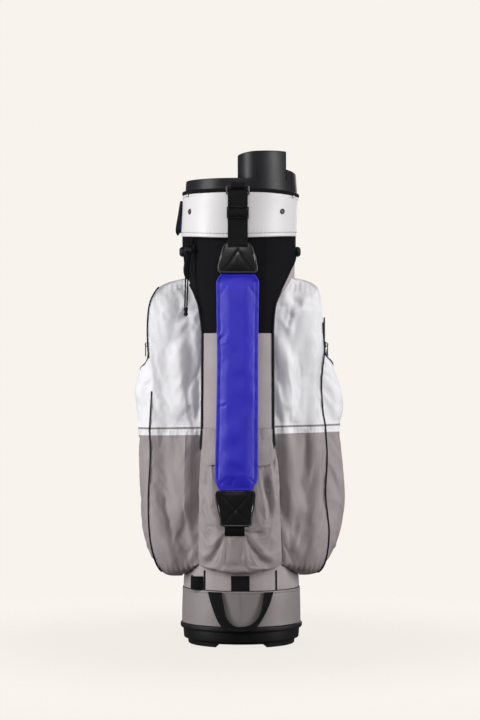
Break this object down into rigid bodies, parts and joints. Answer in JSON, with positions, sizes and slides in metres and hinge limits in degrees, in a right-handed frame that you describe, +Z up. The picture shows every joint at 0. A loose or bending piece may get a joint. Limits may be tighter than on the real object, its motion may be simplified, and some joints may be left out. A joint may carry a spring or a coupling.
{
  "type": "golf cart bag",
  "caption": "Upright golf cart bag with a moulded club organizer top, raised putter well, zipped side pockets, a padded shoulder strap and grab handles.",
  "frame": {"origin": "centre of the underside of the base, on the surface that the bag stands on", "axes": "+Z up along the tube, -Y towards the shoulder strap (the bag's back), +X to the right seen from the strap side"},
  "size_m": [0.4105, 0.3439, 0.9755],
  "materials": {
    "mould": "moulded black polypropylene, light grain",
    "rubber": "matte black rubber",
    "taupe_fabric": "taupe coated nylon, fine weave",
    "taupe_leather": "taupe grained synthetic leather",
    "white_fabric": "off-white coated nylon, fine weave",
    "white_leather": "off-white grained synthetic leather",
    "black_fabric": "black nylon, fine weave",
    "black_leather": "black synthetic leather",
    "webbing": "black ribbed webbing",
    "pad_fabric": "blue-violet coated fabric over foam",
    "cord": "black braided cord",
    "metal": "dark nickel-plated steel",
    "zip": "black zip tape with coil teeth",
    "liner": "black sheet"
  },
  "bodies": {
    "bag": {"base_moulding": "mould", "base_rim": "rubber", "base_cuff": "taupe_leather", "tube_liner": "liner", "body_cover": "taupe_fabric", "upper_back_panel": "black_fabric", "collar_band": "white_leather", "collar_binding": "webbing", "collar_rivet_left": "metal", "collar_rivet_right": "metal", "hood_snap_left": "metal", "hood_snap_right": "metal", "hood_post_left": "rubber", "hood_post_right": "rubber", "top_ring": "mould", "putter_well": "mould", "side_well": "mould", "divider_back": "webbing", "divider_middle": "webbing", "divider_front": "webbing", "strap_ring_keeper": "webbing", "strap_ring": "metal", "strap_web_upper": "webbing", "strap_end_upper": "black_leather", "strap_end_lower": "black_leather", "strap_pad": "pad_fabric", "strap_web_lower": "webbing", "strap_anchor_web": "webbing", "umbrella_sleeve": "webbing", "umbrella_cord_a": "cord", "umbrella_cord_b": "cord", "cord_end": "rubber", "front_bracket_left": "mould", "front_bracket_right": "mould", "side_pocket_left": "white_fabric", "side_pocket_right": "white_fabric", "outer_pocket_left": "taupe_fabric", "outer_pocket_right": "taupe_fabric", "back_pocket": "taupe_fabric", "ball_pocket": "taupe_fabric", "accessory_pocket": "white_fabric", "side_zip_left": "zip", "side_zip_right": "zip", "ball_zip": "zip", "accessory_zip": "zip"},
    "grab_handle": {"grab_handle": "webbing"},
    "front_handle": {"front_handle": "black_leather"},
    "glove_tab": {"glove_tab": "black_leather"},
    "strap_slider": {"strap_slider": "mould"},
    "cord_lock": {"cord_lock": "mould"},
    "cord_lock_button": {"cord_lock_button": "rubber"},
    "side_zip_left_slider": {"side_zip_left_slider": "metal"},
    "side_zip_left_pull": {"side_zip_left_pull": "rubber"},
    "side_zip_right_slider": {"side_zip_right_slider": "metal"},
    "side_zip_right_pull": {"side_zip_right_pull": "rubber"},
    "ball_zip_slider": {"ball_zip_slider": "metal"},
    "ball_zip_pull": {"ball_zip_pull": "rubber"},
    "accessory_zip_slider": {"accessory_zip_slider": "metal"},
    "accessory_zip_pull": {"accessory_zip_pull": "rubber"}
  },
  "joints": [
    {"name": "grab_handle_lift", "type": "hinge", "parent": "bag", "child": "grab_handle", "pos_m": [0, -0.1095, 0.111], "axis": [-1, 0, 0], "range_deg": [0, 110]},
    {"name": "front_handle_lift", "type": "hinge", "parent": "bag", "child": "front_handle", "pos_m": [0, 0.104, 0.857], "axis": [1, 0, 0], "range_deg": [0, 110]},
    {"name": "glove_tab_flap", "type": "hinge", "parent": "bag", "child": "glove_tab", "pos_m": [-0.1184, 0.009, 0.881], "axis": [0, 1, 0], "range_deg": [0, 60]},
    {"name": "strap_slider_travel", "type": "slide", "parent": "bag", "child": "strap_slider", "axis": [0, 0, 1], "range_m": [-0.032, 0.002]},
    {"name": "cord_lock_travel", "type": "slide", "parent": "bag", "child": "cord_lock", "axis": [0.1338, 0, 0.991], "range_m": [-0.022, 0.002]},
    {"name": "cord_lock_press", "type": "slide", "parent": "cord_lock", "child": "cord_lock_button", "axis": [1, 0, 0], "range_m": [0, 0.003], "stiffness_N_per_m": 400},
    {"name": "side_zip_left_travel", "type": "slide", "parent": "bag", "child": "side_zip_left_slider", "axis": [0, 0, 1], "range_m": [0, 0.046]},
    {"name": "side_zip_left_pull_swing", "type": "hinge", "parent": "side_zip_left_slider", "child": "side_zip_left_pull", "pos_m": [-0.19007, -0.03352, 0.595], "axis": [-0.1736, 0.9848, 0], "range_deg": [0, 160]},
    {"name": "side_zip_right_travel", "type": "slide", "parent": "bag", "child": "side_zip_right_slider", "axis": [0, 0, 1], "range_m": [0, 0.046]},
    {"name": "side_zip_right_pull_swing", "type": "hinge", "parent": "side_zip_right_slider", "child": "side_zip_right_pull", "pos_m": [0.17136, -0.03021, 0.595], "axis": [-0.1736, -0.9848, 0], "range_deg": [0, 160]},
    {"name": "ball_zip_travel", "type": "slide", "parent": "bag", "child": "ball_zip_slider", "axis": [1, 0, 0], "range_m": [0, 0.108]},
    {"name": "ball_zip_pull_swing", "type": "hinge", "parent": "ball_zip_slider", "child": "ball_zip_pull", "pos_m": [-0.054, 0.1925, 0.397], "axis": [1, 0, 0], "range_deg": [0, 160]},
    {"name": "accessory_zip_travel", "type": "slide", "parent": "bag", "child": "accessory_zip_slider", "axis": [1, 0, 0], "range_m": [0, 0.076]},
    {"name": "accessory_zip_pull_swing", "type": "hinge", "parent": "accessory_zip_slider", "child": "accessory_zip_pull", "pos_m": [-0.038, 0.1585, 0.617], "axis": [1, 0, 0], "range_deg": [0, 160]}
  ]
}
